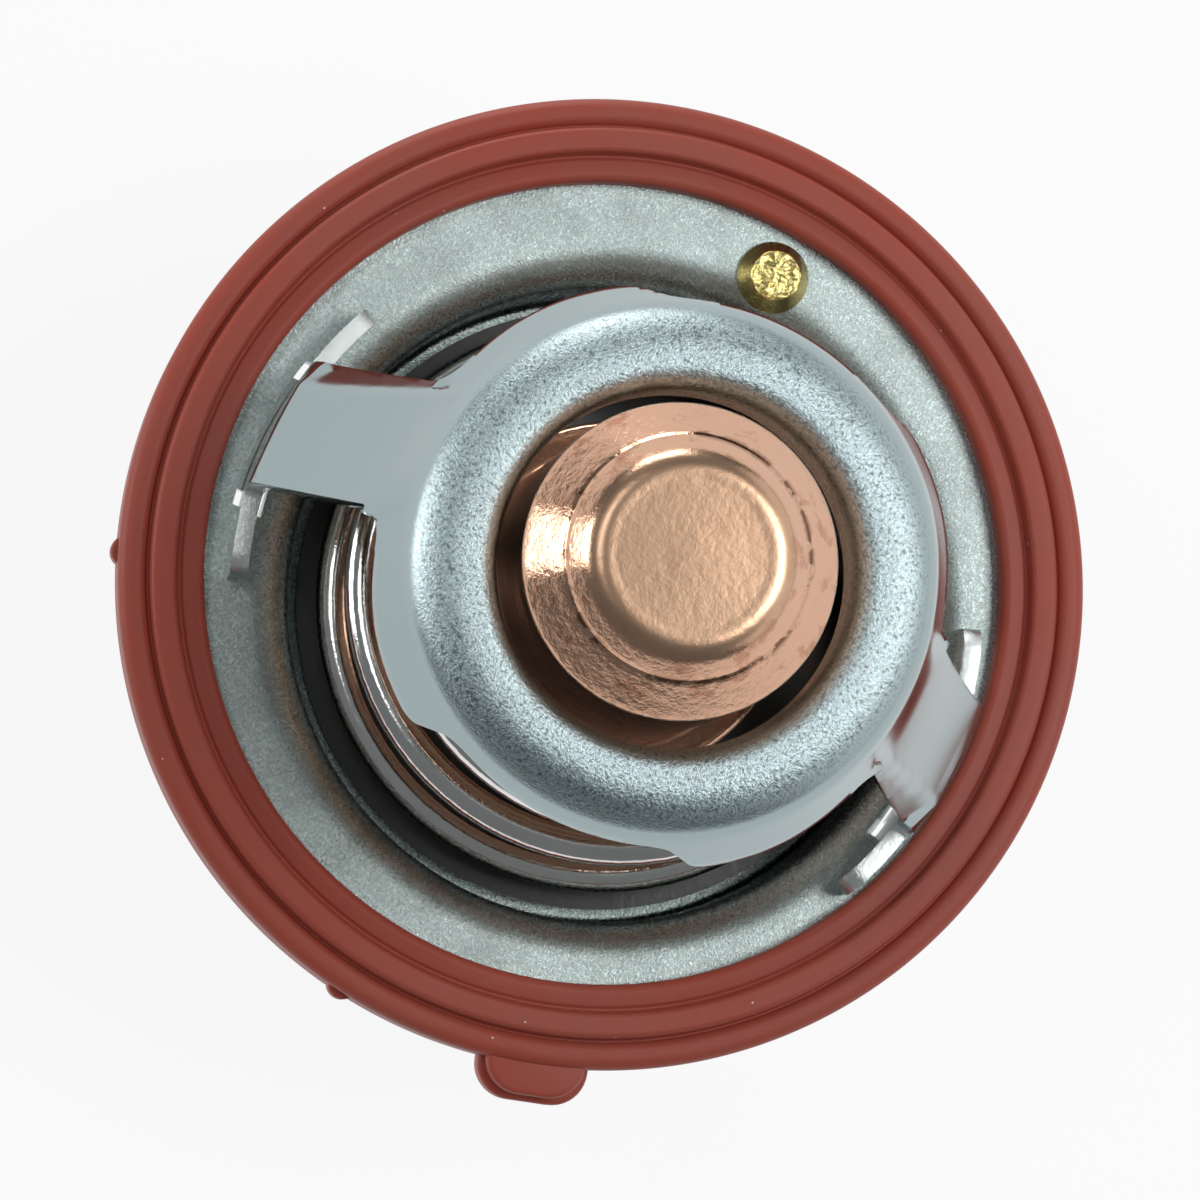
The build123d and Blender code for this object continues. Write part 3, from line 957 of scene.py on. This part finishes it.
def make_capsule():
    """Cup with a rolled collar, and a ring scored round its cone."""
    cone = capsule_top - capsule_cone_height
    slope = capsule_cone_height / (capsule_radius - capsule_end_radius)
    score = capsule_top - (score_radius - capsule_end_radius) * slope
    path = rounded_section(
        [
            (hub_lip_radius, collar_bottom, 0),
            (collar_radius, collar_bottom, 0.5),
            (collar_radius, collar_top, 0.5),
            (capsule_radius, collar_top, 0.3),
            (capsule_radius, cone, 0.5),
            (score_radius + score_width, score - score_width * slope - 0.02, 0.4),
            (score_radius, score - score_depth, 0.15),
            (score_radius - score_width, score + score_width * slope - 0.05, 0.3),
            (capsule_end_radius, capsule_top, 1.5),
            (capsule_end_radius - 1.2, capsule_top - 0.03, 1.0),
            (0, capsule_top, 0),
        ]
    )
    bm = bmesh.new()
    lathe(bm, divided(path, longest=0.35), closed=False)
    piece("copper_cup", bm, "valve", copper, ["capsule_cup"], smooth=60)


def make_pin():
    """Cast brass pin: a coned head whose broken-off gate leaves a rough tip."""
    top = flange_face + pin_head_height
    path = rounded_section(
        [
            (pin_stem_radius, pin_foot_level, 0),
            (pin_stem_radius, flange_face, 0.05),
            (pin_head_radius, flange_face, 0.15),
            (pin_head_radius, flange_face + 0.25, 0.2),
            (pin_tip_radius, top, 0.12),
            (0, top, 0),
        ]
    )
    bm = bmesh.new()
    lathe(bm, divided(path, longest=0.12), closed=False, steps=96, centre=(0, pin_radius_place))
    for vert in bm.verts:
        place = vert.co / mm
        on_tip = smooth_step(place.z, top - 0.12, top)
        rough = noise.noise(place * 2.2) * 0.7 + noise.noise(place * 6) * 0.3
        vert.co.z -= (pin_tip_sunk + pin_tip_rough * rough) * on_tip * mm
    piece("brass_pin", bm, "jiggle", brass, ["jiggle_pin"])


def spring_path():
    """Centres of the wire from its lowest coil up: closed coils at both ends, a cone between."""
    wire = spring_wire / 2
    low = valve_top + spring_seat_gap + wire
    high = ring_top - frame_sheet - spring_seat_gap - wire
    pitch = spring_wire + spring_coil_gap
    rise = high - low - 2 * pitch * spring_closed_turns
    turns = spring_turns + 2 * spring_closed_turns
    rounds = round(turns * spring_steps_per_turn)
    centres = []
    for i in range(rounds + 1):
        turn = turns * i / rounds
        active = min(max((turn - spring_closed_turns) / spring_turns, 0), 1)
        closed = turn - active * spring_turns
        radius = spring_foot_radius + (spring_head_radius - spring_foot_radius) * active
        angle = 2 * math.pi * turn
        x = radius * math.cos(angle) + frame_shift * active
        y = radius * math.sin(angle)
        centres.append(Vector((x, y, low + pitch * closed + rise * active)) * mm)
    return centres


def make_spring():
    centres = spring_path()
    last = len(centres) - 1
    sides = spring_wire_sides
    bm = bmesh.new()
    rows = []
    for i, centre in enumerate(centres):
        along = (centres[min(i + 1, last)] - centres[max(i - 1, 0)]).normalized()
        outward = Vector((centre.x, centre.y, 0)).normalized()
        outward = (outward - along * outward.dot(along)).normalized()
        upward = along.cross(outward)
        row = []
        for k in range(sides):
            angle = 2 * math.pi * k / sides
            side = outward * math.cos(angle) + upward * math.sin(angle)
            row.append(bm.verts.new(centre + side * (spring_wire / 2) * mm))
        rows.append(row)
    for a, b in zip(rows, rows[1:]):
        for k in range(sides):
            j = (k + 1) % sides
            bm.faces.new((a[k], a[j], b[j], b[k]))
    bm.faces.new(rows[0])
    bm.faces.new(rows[-1])
    nodes = ["return_spring"]
    made = piece("conical_spring", bm, "frame", spring_steel, nodes, smooth=50)
    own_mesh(made)


make_pin()
make_flange()
make_lower_frame()
make_seal()
make_capsule()
make_spring()


# ------------------------------------------------------------------------------
# Floor, light and camera
# ------------------------------------------------------------------------------
def glowing_rays(tree, strength):
    """Share of the glow in the floor, for the rays that show it as a plain background."""
    path = tree.nodes.new("ShaderNodeLightPath")
    total = path.outputs["Is Camera Ray"]
    for key in ("Is Glossy Ray", "Is Transmission Ray"):
        total = group_math(tree, "MAXIMUM", total, path.outputs[key])
    return group_math(tree, "MULTIPLY", total, strength)


def floor_shade(tree, near, far):
    """Colour of the floor: pale round the part, running out into the grey of the room."""
    place = tree.nodes.new("ShaderNodeNewGeometry").outputs["Position"]
    reach = group_node(tree, "ShaderNodeVectorMath", [(place, 0)], operation="LENGTH")
    links = [(reach.outputs["Value"], "Value")]
    run = group_node(tree, "ShaderNodeMapRange", links, interpolation_type="SMOOTHSTEP")
    run.inputs["From Min"].default_value = floor_pale_radius * mm
    run.inputs["From Max"].default_value = floor_grey_radius * mm
    blend = group_node(tree, "ShaderNodeMix", data_type="RGBA")
    tree.links.new(run.outputs["Result"], blend.inputs[0])
    colours = [socket for socket in blend.inputs if socket.type == "RGBA"]
    colours[0].default_value = (*near, 1)
    colours[1].default_value = (*far, 1)
    return next(socket for socket in blend.outputs if socket.type == "RGBA")


def make_floor():
    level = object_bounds()[0][2] / mm - floor_gap
    bm = bmesh.new()
    lathe(bm, [(0, level), (floor_radius, level)], closed=False, steps=96)
    material = bpy.data.materials.new("white floor")
    material.use_nodes = True
    tree = material.node_tree
    shader = tree.nodes["Principled BSDF"]
    shader.inputs["Roughness"].default_value = 0.8
    lit = floor_shade(tree, (0.9, 0.9, 0.9), (0.15, 0.155, 0.16))
    tree.links.new(lit, shader.inputs["Base Color"])
    glow = tree.nodes.new("ShaderNodeEmission")
    tree.links.new(floor_shade(tree, (1.0, 1.0, 1.0), room_grey), glow.inputs["Color"])
    blend = tree.nodes.new("ShaderNodeMixShader")
    tree.links.new(glowing_rays(tree, floor_glow_share), blend.inputs[0])
    tree.links.new(shader.outputs[0], blend.inputs[1])
    tree.links.new(glow.outputs[0], blend.inputs[2])
    tree.links.new(blend.outputs[0], tree.nodes["Material Output"].inputs["Surface"])
    piece("floor", bm, None, material)


def make_world():
    """Even soft room light. Low views show it above the far floor, which fades into it."""
    world = bpy.data.worlds.new("studio")
    bpy.context.scene.world = world
    world.use_nodes = True
    background = world.node_tree.nodes["Background"]
    background.inputs["Color"].default_value = (*room_grey, 1)
    background.inputs["Strength"].default_value = 1.0


def make_camera():
    """The camera, and its right, up and back as directions."""
    lean = Vector((*camera_lean, 0))
    back = Vector((lean.x, lean.y, math.sqrt(1 - lean.length_squared)))
    side = (Vector((1, 0, 0)) - back * back.x).normalized()
    over = back.cross(side)
    right = side * math.cos(camera_roll) - over * math.sin(camera_roll)
    up = side * math.sin(camera_roll) + over * math.cos(camera_roll)
    place = back * camera_distance + right * camera_shift_right + up * camera_shift_up
    turn = Matrix((right, up, back)).transposed().to_4x4()
    data = bpy.data.cameras.new("camera")
    data.sensor_width = camera_sensor
    data.lens = camera_lens
    data.clip_start = 0.01
    data.clip_end = 10
    made = bpy.data.objects.new("camera", data)
    made.matrix_world = Matrix.Translation(place * mm) @ turn
    bpy.context.scene.collection.objects.link(made)
    bpy.context.scene.camera = made
    return right, up, back


def make_lamp(axes, name, place, size, brightness):
    """A soft box aimed at the middle of the part."""
    data = bpy.data.lights.new(name, "AREA")
    data.shape = "RECTANGLE"
    data.size = size[0] * mm
    data.size_y = size[1] * mm
    data.energy = brightness * math.pi * data.size * data.size_y
    made = bpy.data.objects.new(name, data)
    at = sum((axis * reach for axis, reach in zip(axes, place)), Vector((0, 0, 0)))
    made.location = at * mm
    made.rotation_euler = at.to_track_quat("Z", "Y").to_euler()
    bpy.context.scene.collection.objects.link(made)


make_floor()
make_world()
camera_axes = make_camera()
for lamp in lamps:
    make_lamp(camera_axes, *lamp)
bpy.context.scene.view_settings.view_transform = "Standard"
